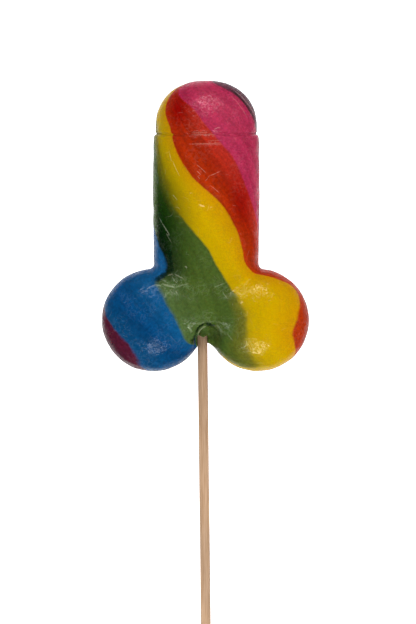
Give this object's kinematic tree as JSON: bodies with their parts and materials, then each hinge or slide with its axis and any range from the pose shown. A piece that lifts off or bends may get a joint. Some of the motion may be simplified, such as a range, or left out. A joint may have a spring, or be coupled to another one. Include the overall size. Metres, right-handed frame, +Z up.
{
  "type": "novelty phallus-shaped rainbow lollipop",
  "caption": "Adult-novelty hard-candy lollipop in the stylised shape of a phallus, with rainbow bands winding round it, on a round wooden stick.",
  "frame": {"origin": "on the surface that the candy lies on, under the middle of the whole object's bounding box", "axes": "+Z up out of the candy's face, +Y along the stick towards the candy's tip, +X across the two lobes"},
  "size_m": [0.0828, 0.2292, 0.0241],
  "materials": {
    "candy": "glossy boiled sugar in twisted pink, red, yellow, green, blue and purple bands",
    "stick": "bare fine-grained wood"
  },
  "bodies": {
    "root": {"candy": "candy", "stick": "stick"}
  },
  "joints": []
}
